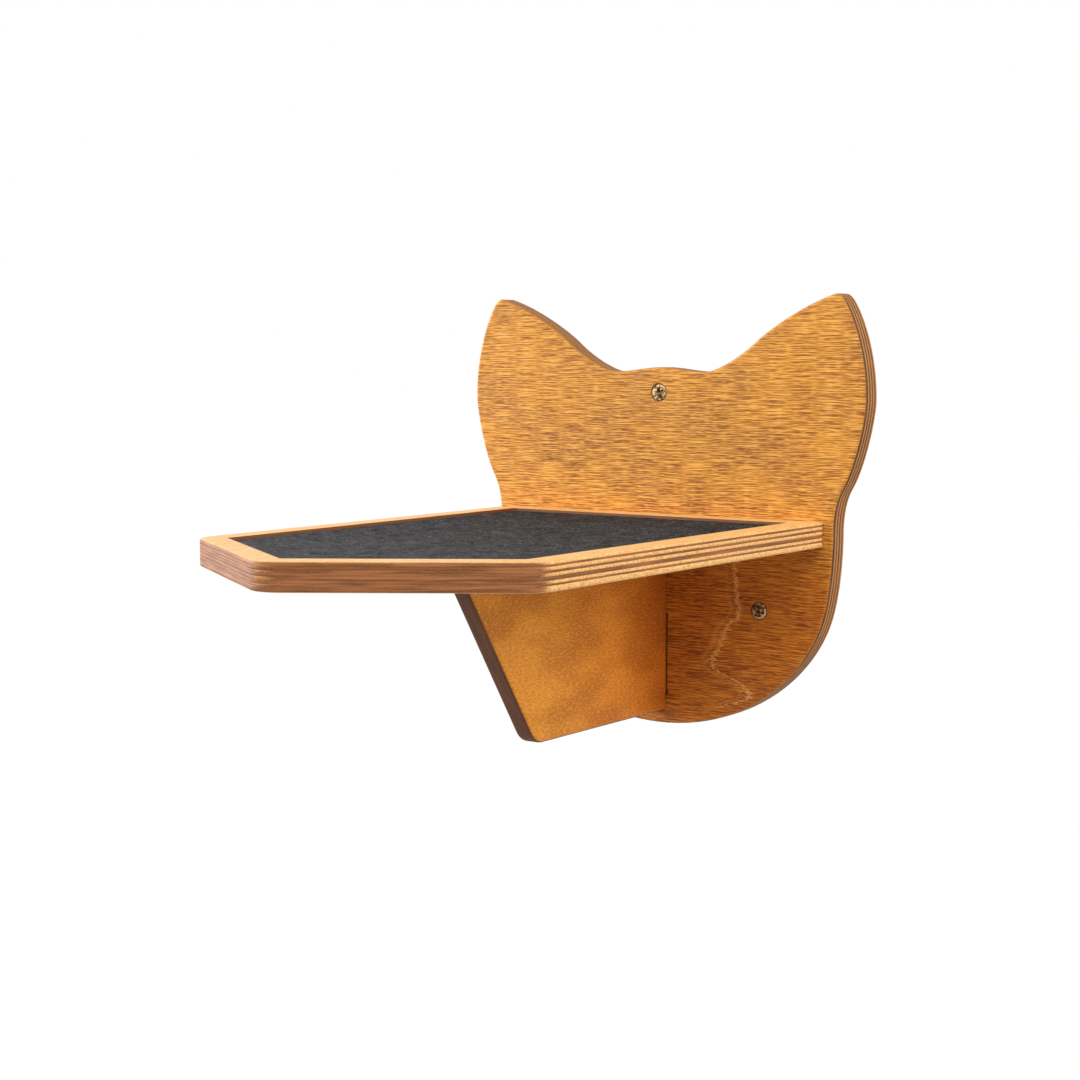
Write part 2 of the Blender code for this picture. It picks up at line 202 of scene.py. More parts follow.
# Each screw: the way its head faces, its thread's outer radius and how far its cross is turned
SCREWS = {
    "wall_screw_top": ((0, -1, 0), 2.25 * MM, 14),
    "wall_screw_left": ((0, -1, 0), 2.25 * MM, -31),
    "wall_screw_right": ((0, -1, 0), 2.25 * MM, -12),
    "rear_screw_left": ((0, 1, 0), 2.0 * MM, 38),
    "rear_screw_right": ((0, 1, 0), 2.0 * MM, 5),
    "rear_screw_bracket": ((0, 1, 0), 2.0 * MM, -24),
    "down_screw_rear": ((0, 0, 1), 2.0 * MM, 20),
    "down_screw_front": ((0, 0, 1), 2.0 * MM, 61),
}
SCREW_RIM = 0.4 * MM
SCREW_SINK = 0.3 * MM
HOLE_CLEARANCE = 0.3 * MM
OVERRUN = 1 * MM
ROUND_STEPS = 40
RELIEF_STEPS = 9


def screw_place(node):
    """Middle of a screw's head face, its head radius and its length, read from the node's box."""
    low, high = (np.array(corner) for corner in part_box(node))
    axis = np.array(SCREWS[node][0])
    length = (high - low) @ np.abs(axis)
    return (low + high) / 2 + axis * length / 2, (high - low)[0] / 2, length


def stood(points, head_at, axis, degrees=0.0):
    """Turn points that lie about +Z by degrees round it, tip +Z over to axis and move them."""
    turn = math.radians(degrees)
    spin = np.array([
        (math.cos(turn), -math.sin(turn), 0), (math.sin(turn), math.cos(turn), 0), (0, 0, 1),
    ])
    tip = np.array(Vector((0, 0, 1)).rotation_difference(Vector(axis)).to_matrix())
    return points @ (tip @ spin).T + head_at


def screw_hole(node):
    """The countersink and bore of a screw: a (radius, height) profile turned about its axis, so
    x = r cos a, y = r sin a and z = h."""
    head_at, head_radius, length = screw_place(node)
    axis, shank_radius, _ = SCREWS[node]
    mouth = SCREW_SINK + OVERRUN
    wide = head_radius + HOLE_CLEARANCE
    narrow = shank_radius + HOLE_CLEARANCE
    profile = np.array([
        (wide + mouth, mouth),
        (wide, 0),
        (wide, -SCREW_RIM),
        (narrow, narrow - wide - SCREW_RIM),
        (narrow, -length - OVERRUN),
    ])
    angle = np.linspace(0, 2 * math.pi, ROUND_STEPS, endpoint=False)
    ring = np.stack([np.cos(angle), np.sin(angle), np.zeros(ROUND_STEPS)], 1)
    points = profile[:, :1, None] * ring + profile[:, 1:, None] * (0, 0, 1)
    return board(node + "_hole", [stood(points, head_at, axis)], [[(0, 0)], [(0, -1)]])


def relieved_slot(width, height, relief):
    """Outline of a slot whose corners the cutter relieved: a half circle through each corner."""
    shift = relief / math.sqrt(2)
    angle = np.linspace(-math.pi / 4, 3 * math.pi / 4, RELIEF_STEPS)
    points = []
    for quarter, (side_x, side_z) in enumerate(((1, 1), (-1, 1), (-1, -1), (1, -1))):
        centre = np.array([side_x * (width / 2 - shift), side_z * (height / 2 - shift)])
        turn = angle + quarter * math.pi / 2
        points.append(centre + relief * np.stack([np.cos(turn), np.sin(turn)], 1))
    return np.concatenate(points)


def linear(code):
    """The linear colour of an sRGB hex code such as D69A4E."""
    channels = np.array([int(code[start:start + 2], 16) for start in (0, 2, 4)]) / 255
    curved = ((channels + 0.055) / 1.055) ** 2.4
    return (*np.where(channels <= 0.04045, channels / 12.92, curved), 1.0)


def add(tree, kind, sockets=None, **settings):
    """Add a node, set its properties, and give each socket a value or a link."""
    node = tree.nodes.new(kind)
    for name, value in settings.items():
        setattr(node, name, value)
    for socket, value in (sockets or {}).items():
        if isinstance(value, bpy.types.NodeSocket):
            tree.links.new(value, node.inputs[socket])
        else:
            node.inputs[socket].default_value = value
    return node


def new_finish(name):
    """An empty node material and its shader, which the caller fills."""
    material = bpy.data.materials.new(name)
    material.use_nodes = True
    tree = material.node_tree
    tree.nodes.clear()
    shader = add(tree, "ShaderNodeBsdfPrincipled")
    add(tree, "ShaderNodeOutputMaterial", {"Surface": shader.outputs["BSDF"]}, name="Surface")
    return material, tree, shader


# The wood's patterns, each as its size in millimetres along the grain, across it and into the
# board, its detail and its roughness. Birch pores are 0.1 mm wide, which would be lost, so the
# pore lines are drawn at several times that.
WOOD_PATTERNS = {
    "clouds": ((52, 24, 30), 2.0, 0.5),
    "bands": ((20, 1.6, 6), 3.0, 0.6),
    "pores": ((15, 0.42, 3), 0.0, 0.5),
    "flecks": ((4.5, 0.40, 3), 0.0, 0.5),
    "fibres": ((1.5, 1.5, 0.6), 3.0, 0.65),
    "ragged": ((11, 11, 0.7), 3.0, 0.5),
    "smears": ((26, 26, 1.3), 2.0, 0.5),
}
# The face's layers in their order: the pattern, its values where the layer begins and where it is
# whole, the layer's greatest share and its colour
FACE_LAYERS = (
    ("bands", 0.52, 0.36, 0.15, "deep_face"),
    ("pores", 0.50, 0.34, 0.74, "pore"),
    ("flecks", 0.46, 0.34, 0.36, "pore"),
    ("pores", 0.51, 0.66, 0.7, "pale_face"),
    ("flecks", 0.54, 0.66, 0.5, "pale_face"),
)
# Where the other patterns begin to show and are whole, and the cosines between the face and the
# way that a rounded edge looks, from which and to which the edge turns into the face
CLOUDED = (0.40, 0.60)
FLECKED = (0.38, 0.64)
SMEARED = (0.42, 0.64)
FACE_TURN = (0.55, 0.93)
RAGGEDNESS = 0.30
PLY_BLUR = 0.09
WAVE_SIZE = (70, 34, 60)
WAVE_HEIGHT = 3.0 * MM
WOOD_BUMP = 0.4
WOOD_RELIEF = 0.2 * MM
RELIEF_RANGE = (0.3, 0.7)
EDGE_ROUGHNESS = 0.62
OIL_SHINE = 0.30
# Tint that painted shade multiplies a board's face by, darker and redder
PAINTED_SHADE_TINT = "EAC894"


def birch_ply(name, axes, face_at, veneers, colours, patterns=None, painted_shade=None, figure=None):
    """Birch plywood, stained by rubbing and then oiled: satin, its pores and end grain dark.

    axes are the face veneers' grain, the direction across it, and the way into the board from
    its face at face_at. veneers are the plies' thicknesses in millimetres: every other one has
    its grain across. On an edge, a ply cut along its grain stays light and one cut across its
    grain drinks the stain and turns dark. patterns holds the board's own sizes for some of the
    wood's patterns. The argument after patterns is painted shade, not stain: the way, 0 along
    or 1 across the grain, in which the face is painted darker and redder, and the places where
    that begins and is whole. figure adds a board's own figure.
    deeper, and the places where that begins and is whole. figure adds a board's own figure."""
    material, tree, shader = new_finish(name)
    shader.inputs["Specular IOR Level"].default_value = OIL_SHINE
    place = add(tree, "ShaderNodeTexCoord")
    along, across, inward = [
        add(tree, "ShaderNodeVectorMath", {0: place.outputs["Object"], 1: axis},
            operation="DOT_PRODUCT").outputs["Value"]
        for axis in axes
    ]
    facing = []
    for axis in axes:
        turned = add(tree, "ShaderNodeVectorMath", {0: place.outputs["Normal"], 1: axis},
                     operation="DOT_PRODUCT")
        facing.append(add(tree, "ShaderNodeMath", {0: turned.outputs["Value"]},
                          operation="ABSOLUTE").outputs[0])
    depth = add(tree, "ShaderNodeMath", {0: inward, 1: face_at}, operation="SUBTRACT").outputs[0]

    # The grain sways a little up and down, and every pattern follows it
    straight = add(tree, "ShaderNodeCombineXYZ", {0: along, 1: across, 2: depth})
    sway = add(tree, "ShaderNodeMapping", {
        "Vector": straight.outputs[0], "Scale": [1 / (side * MM) for side in WAVE_SIZE],
    })
    sway = add(tree, "ShaderNodeTexNoise", {"Vector": sway.outputs[0], "Scale": 1.0, "Detail": 1.0})
    swayed = add(tree, "ShaderNodeMath", {0: sway.outputs[0], 1: WAVE_HEIGHT, 2: across},
                 operation="MULTIPLY_ADD")
    grain = add(tree, "ShaderNodeCombineXYZ", {0: along, 1: swayed.outputs[0], 2: depth})
    pattern = {}
    for part, (size, detail, roughness) in {**WOOD_PATTERNS, **(patterns or {})}.items():
        scaled = add(tree, "ShaderNodeMapping", {
            "Vector": grain.outputs[0], "Scale": [1 / (side * MM) for side in size],
        })
        pattern[part] = add(tree, "ShaderNodeTexNoise", {
            "Vector": scaled.outputs[0], "Scale": 1.0, "Detail": detail, "Roughness": roughness,
        }).outputs[0]

    # Which way each ply's grain runs, from its depth in the board: black along, white across
    thickness = sum(veneers)
    ply_share = add(tree, "ShaderNodeMath", {0: depth, 1: thickness * MM}, operation="DIVIDE")
    plies = add(tree, "ShaderNodeValToRGB", {0: ply_share.outputs[0]})
    stops = plies.color_ramp.elements
    stops[1].color = (0, 0, 0, 1)
    for number, boundary in enumerate(np.cumsum(veneers)[:-1]):
        for shift, tone in ((-PLY_BLUR, number % 2), (PLY_BLUR, 1 - number % 2)):
            stop = stops.new((boundary + shift) / thickness)
            stop.color = (tone, tone, tone, 1)

    # How much end grain shows: each ply's grain against the way that the surface looks
    end_grain = add(tree, "ShaderNodeMix", {0: plies.outputs["Color"], 2: facing[0], 3: facing[1]})
    uneven = add(tree, "ShaderNodeMath", {
        0: pattern["ragged"], 1: RAGGEDNESS, 2: end_grain.outputs[0],
    }, operation="MULTIPLY_ADD")
    least, most = colours["end_grain"]
    end_share = add(tree, "ShaderNodeMapRange", {0: uneven.outputs[0], 1: least, 2: most},
                    interpolation_type="SMOOTHSTEP")

    # Edge: pale where cut along the grain, brown across it, both flecked, with long smears
    flecked = add(tree, "ShaderNodeMapRange", {0: pattern["fibres"], 1: FLECKED[0], 2: FLECKED[1]})
    smeared = add(tree, "ShaderNodeMapRange", {0: pattern["smears"], 1: SMEARED[0], 2: SMEARED[1]})
    clean = add(tree, "ShaderNodeMix", {
        0: plies.outputs["Color"], 6: linear(colours["pale_edge"]), 7: linear(colours["cross_edge"]),
    }, data_type="RGBA")
    pale = add(tree, "ShaderNodeMix", {
        0: flecked.outputs[0], 6: clean.outputs[2], 7: linear(colours["pale_fleck"]),
    }, data_type="RGBA")
    brown = add(tree, "ShaderNodeMix", {
        0: flecked.outputs[0], 6: linear(colours["brown_edge"]), 7: linear(colours["brown_fleck"]),
    }, data_type="RGBA")
    brown = add(tree, "ShaderNodeMix", {
        0: smeared.outputs[0], 6: brown.outputs[2], 7: linear(colours["brown_smear"]),
    }, data_type="RGBA")
    edge = add(tree, "ShaderNodeMix", {
        0: end_share.outputs[0], 6: pale.outputs[2], 7: brown.outputs[2],
    }, data_type="RGBA")
    # A wall cut by the router is rough and drinks the stain whichever way its plies run; its brown also
    # stands in for the shade inside the carpet's pocket, so it is partly painted shade
    routed = add(tree, "ShaderNodeAttribute", attribute_name="routed")
    edge = add(tree, "ShaderNodeMix", {
        0: routed.outputs["Fac"], 6: edge.outputs[2], 7: linear(colours["brown_fleck"]),
    }, data_type="RGBA")

    # Face: cloudy stain, broad bands, then dark pore lines and pale fibre lines between them
    clouded = add(tree, "ShaderNodeMapRange", {0: pattern["clouds"], 1: CLOUDED[0], 2: CLOUDED[1]})
    face = add(tree, "ShaderNodeMix", {
        0: clouded.outputs[0], 6: linear(colours["deep_face"]), 7: linear(colours["face"]),
    }, data_type="RGBA")
    for part, begins, whole, most, tone in FACE_LAYERS:
        share = add(tree, "ShaderNodeMapRange", {0: pattern[part], 1: begins, 2: whole, 4: most})
        face = add(tree, "ShaderNodeMix", {
            0: share.outputs[0], 6: face.outputs[2], 7: linear(colours[tone]),
        }, data_type="RGBA")
    # Painted shade: the face is multiplied by the shade tint from where the shade begins to where it is
    # whole
    if painted_shade:
        way, begins, whole = painted_shade
        shade_share = add(tree, "ShaderNodeMapRange", {0: (along, across)[way], 1: begins, 2: whole})
        face = add(tree, "ShaderNodeMix", {
            0: shade_share.outputs[0], 6: face.outputs[2], 7: linear(PAINTED_SHADE_TINT),
        }, data_type="RGBA", blend_type="MULTIPLY")
    if figure:
        face = figure(tree, along, across, pattern, face)

    # The face shows where the surface looks out of the board, the edge elsewhere
    face_share = add(tree, "ShaderNodeMapRange", {0: facing[2], 1: FACE_TURN[0], 2: FACE_TURN[1]},
                     interpolation_type="SMOOTHSTEP")
    colour = add(tree, "ShaderNodeMix", {
        0: face_share.outputs[0], 6: edge.outputs[2], 7: face.outputs[2],
    }, data_type="RGBA")
    tree.links.new(colour.outputs[2], shader.inputs["Base Color"])

    # Oil lies in the pores and dulls there; fibres stand up a little on the face and the edge
    relief = add(tree, "ShaderNodeMix", {
        0: face_share.outputs[0], 2: pattern["fibres"], 3: pattern["pores"],
    })
    bump = add(tree, "ShaderNodeBump", {
        "Strength": WOOD_BUMP, "Distance": WOOD_RELIEF, "Height": relief.outputs[0],
    })
    tree.links.new(bump.outputs[0], shader.inputs["Normal"])
    gloss = add(tree, "ShaderNodeMapRange", {
        0: relief.outputs[0], 1: RELIEF_RANGE[0], 2: RELIEF_RANGE[1],
        3: colours["dull"], 4: colours["shine"],
    })
    gloss = add(tree, "ShaderNodeMix", {
        0: face_share.outputs[0], 2: EDGE_ROUGHNESS, 3: gloss.outputs[0],
    })
    tree.links.new(gloss.outputs[0], shader.inputs["Roughness"])
    return material


PLATE_VENEERS = (1.9, 1.2, 1.4, 1.2, 1.5, 1.2, 1.3, 1.2, 1.1)
PLATE_COLOURS = {
    "face": "D08620",
    "deep_face": "AE6A1E",
    "pale_face": "F4B452",
    "pore": "78400E",
    "pale_edge": "BC7E3E",
    "pale_fleck": "A2692F",
    "cross_edge": "BC7E3E",
    "brown_edge": "563012",
    "brown_fleck": "40220C",
    "brown_smear": "684018",
    "end_grain": (0.62, 1.05),
    "dull": 0.62,
    "shine": 0.48,
}
# Painted shade below the shelf: the plate's face is painted darker and redder from 5 mm above the shelf's
# top down to 35 mm below it
PLATE_PAINTED_SHADE = (1, 0.005, -0.035)

# Growth-ring line that wanders down the plate at the right of the bracket: the heights and sides
# that it spans, its course as (height, side) shares of them, and the shift and strength of the
# line and of a fainter one beside it
RING_HEIGHTS = (-0.101, -0.011)
RING_SIDES = (0.025, 0.065)
RING_LINE_SHARES = (
    (0.00, 0.02), (0.05, 0.30), (0.09, 0.55), (0.13, 0.73), (0.19, 0.62), (0.24, 0.36), (0.29, 0.20),
    (0.39, 0.30), (0.51, 0.41), (0.61, 0.59), (0.67, 0.55), (0.81, 0.52), (0.87, 0.50), (1.00, 0.46),
)
RING_LINES = ((0, 0.95), (-5 * MM, 0.30))
RING_WIDTH = 1.3 * MM
RING_COLOUR = "F0B468"
RING_TEETH = 7 * MM
RING_FADE = 8 * MM
# Pale arcs of growth rings round the upper screw, wider along the grain than across it
ARC_HEIGHT = 62 * MM
ARC_STRETCH = 0.55
ARC_SPACING = 4.5 * MM
ARC_REACH = (20 * MM, 8 * MM)
ARC_STRENGTH = 0.18


def growth_rings(tree, along, across, pattern, face):
    """Pale lines where the knife crossed growth rings. A line's side follows its height, an arc
    runs at every spacing of the stretched distance from its eye, and the grain pulls teeth out
    of both."""
    teeth = add(tree, "ShaderNodeMath", {0: pattern["bands"], 1: pattern["flecks"]}, operation="ADD")
    teeth = add(tree, "ShaderNodeMath", {0: teeth.outputs[0], 1: RING_TEETH, 2: -RING_TEETH},
                operation="MULTIPLY_ADD").outputs[0]
    low, high = RING_HEIGHTS
    height = add(tree, "ShaderNodeMapRange", {0: across, 1: low, 2: high})
    line = add(tree, "ShaderNodeFloatCurve", {"Value": height.outputs[0]})
    curve = line.mapping.curves[0]
    curve.points[0].location = RING_LINE_SHARES[0]
    curve.points[1].location = RING_LINE_SHARES[-1]
    for share in RING_LINE_SHARES[1:-1]:
        curve.points.new(*share)
    line.mapping.update()
    risen = add(tree, "ShaderNodeMapRange", {0: across, 1: low, 2: low + RING_FADE})
    ended = add(tree, "ShaderNodeMapRange", {0: across, 1: high, 2: high - RING_FADE})
    inside = add(tree, "ShaderNodeMath", {0: risen.outputs[0], 1: ended.outputs[0]}, operation="MULTIPLY")
    shares = []
    for shift, most in RING_LINES:
        side = add(tree, "ShaderNodeMapRange", {
            0: line.outputs[0], 3: RING_SIDES[0] + shift, 4: RING_SIDES[1] + shift,
        })
        toothed = add(tree, "ShaderNodeMath", {0: side.outputs[0], 1: teeth}, operation="ADD")
        away = add(tree, "ShaderNodeMath", {0: along, 1: toothed.outputs[0]}, operation="SUBTRACT")
        away = add(tree, "ShaderNodeMath", {0: away.outputs[0]}, operation="ABSOLUTE")
        near = add(tree, "ShaderNodeMapRange", {0: away.outputs[0], 2: RING_WIDTH, 3: most, 4: 0.0},
                   interpolation_type="SMOOTHSTEP")
        shares.append(add(tree, "ShaderNodeMath", {0: near.outputs[0], 1: inside.outputs[0]},
                          operation="MULTIPLY"))

    level_part = add(tree, "ShaderNodeMath", {0: along, 1: ARC_STRETCH}, operation="MULTIPLY")
    upright_part = add(tree, "ShaderNodeMath", {0: across, 1: ARC_HEIGHT}, operation="SUBTRACT")
    from_eye = add(tree, "ShaderNodeCombineXYZ", {0: level_part.outputs[0], 1: upright_part.outputs[0]})
    distance = add(tree, "ShaderNodeVectorMath", {0: from_eye.outputs[0]}, operation="LENGTH")
    toothed = add(tree, "ShaderNodeMath", {0: distance.outputs["Value"], 1: teeth}, operation="ADD")
    arc = add(tree, "ShaderNodeMath", {0: toothed.outputs[0], 1: ARC_SPACING}, operation="PINGPONG")
    near = add(tree, "ShaderNodeMapRange", {0: arc.outputs[0], 2: RING_WIDTH, 3: ARC_STRENGTH, 4: 0.0},
               interpolation_type="SMOOTHSTEP")
    faded = add(tree, "ShaderNodeMapRange", {
        0: distance.outputs["Value"], 1: ARC_REACH[0], 2: ARC_REACH[1],
    })
    shares.append(add(tree, "ShaderNodeMath", {0: near.outputs[0], 1: faded.outputs[0]},
                      operation="MULTIPLY"))
    for share in shares:
        face = add(tree, "ShaderNodeMix", {
            0: share.outputs[0], 6: face.outputs[2], 7: linear(RING_COLOUR),
        }, data_type="RGBA")
    return face


head_points, head_outward = head_outline()
plate_rows = edge_profile(PLATE_THICKNESS, PLATE_ROUNDING, PLATE_VENEERS)
inset_points = head_points - plate_rows[:, :1, None] * head_outward
plate_band = np.insert(inset_points, 1, 0, axis=2)
plate_band[..., 1] = plate_low.y + plate_rows[:, 1:]
plate = board("cat_head_plate", [plate_band], [[(0, 0)], [(0, -1)]])

# Screw holes and the mortise go through the plate where the screws and the tenon are
bracket_low, bracket_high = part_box("support_bracket")
BRACKET_THICKNESS = bracket_high.x - bracket_low.x
TENON_TOP = -0.0515
TENON_FOOT = -0.0925
TENON_SIDE_GAP = 1.1 * MM
SEAT_GAP = 0.3 * MM
MORTISE_CUTTER_RADIUS = 1.7 * MM
slot = relieved_slot(
    BRACKET_THICKNESS + 2 * TENON_SIDE_GAP, TENON_TOP - TENON_FOOT + 2 * SEAT_GAP, MORTISE_CUTTER_RADIUS
)
slot[:, 1] += (TENON_TOP + TENON_FOOT) / 2
mortise_band = np.stack([
    np.insert(slot, 1, y, axis=1) for y in (plate_low.y - OVERRUN, plate_high.y + OVERRUN)
])
mortise = board("mortise", [mortise_band], [[(0, 0)], [(0, 1)]])
cut(plate, [mortise] + [screw_hole(node) for node in SCREWS if not node.startswith("down")])
plate.data.materials.append(birch_ply(
    "stained_birch_plate", ((1, 0, 0), (0, 0, 1), (0, 1, 0)), plate_low.y, PLATE_VENEERS,
    PLATE_COLOURS, painted_shade=PLATE_PAINTED_SHADE, figure=growth_rings,
))
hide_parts("back_plate")
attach(plate, "root")

# Shelf
# The step itself: the same ply with its point to the front, its face grain along the shelf. A
# router has taken a pocket for the carpet out of its top, and its long sides are cut along the
# grain, so their plies show as pale and brown stripes.
shelf_low, shelf_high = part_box("shelf_board")
SHELF_THICKNESS = shelf_high.z - shelf_low.z
SHELF_ROUNDING = 1.2 * MM
SHELF_CORNER_RADIUS = 15 * MM
# Where the long sides end, and where the two front sides would meet if they weren't rounded
SHOULDER_Y = -0.2466
POINT_Y = -0.3096
RIM_WIDTH = 12.2 * MM
POCKET_DEPTH = 4 * MM
POCKET_CORNER_RADIUS = 1.5 * MM
POCKET_LIP = 0.3 * MM
CORNER_STEPS = 14
SIDE_STEPS = 6
# Radius of a corner that looks sharp, so that every corner can be an arc
TIGHT = 0.02 * MM
SHELF_VENEERS = (1.3, 0.9, 1.4, 1.0, 1.4, 1.7, 1.3, 0.8, 2.7)
SHELF_COLOURS = {
    "face": "E8B46E",
    "deep_face": "DFA760",
    "pale_face": "EFC080",
    "pore": "CC904C",
    "pale_edge": "F6C47C",
    "pale_fleck": "C88A48",
    "cross_edge": "A4693A",
    "brown_edge": "865128",
    "brown_fleck": "724320",
    "brown_smear": "A06438",
    "end_grain": (0.22, 0.64),
    "dull": 0.52,
    "shine": 0.38,
}


def rounded_polygon(corners, radii, insets):
    """Points round a polygon given counterclockwise. Side i, from corner i on, moves inwards by
    insets[i]; each new corner is an arc about c = p + m r / sin(h), p the corner, m the middle
    direction between its sides and h half their angle; each side gets even points between."""
    corners = np.array(corners, float)
    after = np.roll(corners, -1, 0)
    along = (after - corners) / np.linalg.norm(after - corners, axis=1, keepdims=True)
    inward = np.stack([-along[:, 1], along[:, 0]], 1)
    start = corners + inward * np.array(insets)[:, None]
    moved = []
    for i in range(len(corners)):
        sides = np.stack([along[i - 1], -along[i]], 1)
        reach = np.linalg.solve(sides, start[i] - start[i - 1])
        moved.append(start[i - 1] + along[i - 1] * reach[0])
    arcs = []
    for i, corner in enumerate(moved):
        back, ahead = -along[i - 1], along[i]
        radius = max(radii[i] - max(insets[i - 1], insets[i]), TIGHT)
        half = math.acos(np.clip(back @ ahead, -1, 1)) / 2
        middle = (back + ahead) / np.linalg.norm(back + ahead)
        centre = corner + middle * radius / math.sin(half)
        first = corner + back * radius / math.tan(half) - centre
        last = corner + ahead * radius / math.tan(half) - centre
        sweep = math.atan2(first[0] * last[1] - first[1] * last[0], first @ last)
        turn = np.linspace(0, sweep, CORNER_STEPS)
        arcs.append(centre + np.stack([
            first[0] * np.cos(turn) - first[1] * np.sin(turn),
            first[0] * np.sin(turn) + first[1] * np.cos(turn),
        ], 1))
    share = np.arange(1, SIDE_STEPS)[:, None] / SIDE_STEPS
    points = []
    for arc, following in zip(arcs, arcs[1:] + arcs[:1]):
        points += [arc, arc[-1] + (following[0] - arc[-1]) * share]
    return np.concatenate(points)


def level(outline, z):
    """The points of an outline seen from above, all at the height z."""
    return np.insert(outline, 2, z, axis=1)


shelf_corners = [
    (shelf_low.x, shelf_high.y), (shelf_low.x, SHOULDER_Y), (0, POINT_Y), (shelf_high.x, SHOULDER_Y),
    (shelf_high.x, shelf_high.y),
]
shelf_radii = (TIGHT, SHELF_CORNER_RADIUS, SHELF_CORNER_RADIUS, SHELF_CORNER_RADIUS, TIGHT)
free_sides = np.array([1, 1, 1, 1, 0])
shelf_band = np.array([
    level(rounded_polygon(shelf_corners, shelf_radii, free_sides * inset), -depth)
    for inset, depth in edge_profile(SHELF_THICKNESS, SHELF_ROUNDING, SHELF_VENEERS)
])
pocket_radii = [POCKET_CORNER_RADIUS + RIM_WIDTH] * 5
pocket_band = np.array([
    level(rounded_polygon(shelf_corners, pocket_radii, [RIM_WIDTH + inset] * 5), -depth)
    for inset, depth in (
        (-FLAT_MARGIN, 0), (0, 0), (POCKET_LIP * 0.7, POCKET_LIP * 0.3), (POCKET_LIP, POCKET_LIP),
        (POCKET_LIP, POCKET_DEPTH),
    )
])
shelf = board("pentagon_shelf", [shelf_band, pocket_band], [[(0, 0), (1, 0)], [(1, -1)], [(0, -1)]])
shelf_screws = ("rear_screw_left", "rear_screw_right", "down_screw_rear", "down_screw_front")
cut(shelf, [screw_hole(node) for node in shelf_screws])

# The pocket's walls are the upright faces that look to the shelf's middle: mark them for their rough
# stain and their painted shade
faces_look = np.empty((len(shelf.data.polygons), 3))
faces_at = np.empty_like(faces_look)
shelf.data.polygons.foreach_get("normal", faces_look.ravel())
shelf.data.polygons.foreach_get("center", faces_at.ravel())
shelf_middle = (0, (shelf_high.y + POINT_Y) / 2, 0)
inwards = np.einsum("fd,fd->f", faces_look * (1, 1, 0), faces_at - shelf_middle) < 0
routed = shelf.data.attributes.new("routed", "FLOAT", "FACE")
routed.data.foreach_set("value", inwards.astype(np.float32))
shelf.data.materials.append(birch_ply(
    "stained_birch_shelf", ((0, 1, 0), (1, 0, 0), (0, 0, -1)), 0.0, SHELF_VENEERS, SHELF_COLOURS,
))
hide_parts("shelf_board")
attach(shelf, "root")

# Bracket
# A ply board on edge under the shelf. Its tenon goes through the plate's mortise, and its front
# edge slopes back from under the shelf's point to a rounded foot.
BRACKET_ROUNDING = 2 * MM
BRACKET_FOOT_Y = -0.126
BRACKET_FOOT_RADIUS = 12 * MM
BRACKET_VENEERS = (1.5, 1.1, 1.2, 1.2, 1.2, 1.2, 1.1, 1.5)
BRACKET_COLOURS = {
    "face": "E2922A",
    "deep_face": "BA6E14",
    "pale_face": "E89C3C",
    "pore": "B46A1A",
    "pale_edge": "704528",
    "pale_fleck": "5E3820",
    "cross_edge": "704528",
    "brown_edge": "623A20",
    "brown_fleck": "52301A",
    "brown_smear": "6A4024",
    "end_grain": (0.22, 0.64),
    "dull": 0.62,
    "shine": 0.50,
}
# This board's veneer was cut so that its grain shows as short specks instead of lines
BRACKET_PATTERNS = {"pores": ((2.6, 0.8, 2), 2.0, 0.6), "flecks": ((1.4, 0.6, 2), 2.0, 0.6)}
# Painted shade near the plate: the bracket's face is painted darker and redder from 110 mm in front of
# the plate's rear face, whole at 15 mm
BRACKET_PAINTED_SHADE = (0, -0.11, -0.015)
seat_y = plate_low.y - SEAT_GAP
bracket_corners = [
    (bracket_high.y, TENON_FOOT), (bracket_high.y, TENON_TOP), (seat_y, TENON_TOP),
    (seat_y, bracket_high.z), (bracket_low.y, bracket_high.z), (BRACKET_FOOT_Y, bracket_low.z),
    (seat_y, bracket_low.z), (seat_y, TENON_FOOT),
]
bracket_radii = (TIGHT, TIGHT, TIGHT, TIGHT, TIGHT, BRACKET_FOOT_RADIUS, TIGHT, TIGHT)
rounded_sides = np.array([0, 0, 0, 0, 1, 1, 0, 0])
bracket_band = np.array([
    np.insert(rounded_polygon(bracket_corners, bracket_radii, rounded_sides * inset), 0,
              bracket_high.x - depth, axis=1)
    for inset, depth in edge_profile(BRACKET_THICKNESS, BRACKET_ROUNDING, BRACKET_VENEERS)
])
bracket = board("tenon_bracket", [bracket_band], [[(0, 0)], [(0, -1)]])
bracket_screws = ("rear_screw_bracket", "down_screw_rear", "down_screw_front")
cut(bracket, [screw_hole(node) for node in bracket_screws])
bracket.data.materials.append(birch_ply(
    "stained_birch_bracket", ((0, 1, 0), (0, 0, 1), (-1, 0, 0)), -bracket_high.x, BRACKET_VENEERS,
    BRACKET_COLOURS, BRACKET_PATTERNS, BRACKET_PAINTED_SHADE,
))
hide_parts("support_bracket")
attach(bracket, "root")

# Carpet
# Charcoal needle-felt, cut with a knife to the pocket's shape and glued in a little below the
# rim. Its top is a mat of crimped fibres, lumpy where the needles pulled them down, with some
# loose fibres lying on it.
carpet_low, carpet_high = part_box("carpet_pad")
CARPET_SIDE_GAP = 0.5 * MM
CARPET_ROUNDING = 1.2 * MM
CARPET_CORNER_RADIUS = 3 * MM
CARPET_ROUNDING_ROWS = 4
CARPET_RINGS = 86
CARPET_POINTS = 800
FELT_LAYERS = ((9 * MM, 0.04 * MM), (3.6 * MM, 0.13 * MM), (1.9 * MM, 0.18 * MM))
FELT_ROOM = 0.6 * MM
# Loose fibres, drawn at about three times their real width so that they show
FIBRE_COUNT = 1300
FIBRE_RADIUS = 0.07 * MM
FIBRE_LENGTHS = (2 * MM, 7 * MM)
FIBRE_BEND = 0.18
FIBRE_ARCH = 0.25 * MM
FIBRE_LEAST_ARCH = 0.2
FIBRE_REACH = 0.95
FIBRE_STEPS = 6


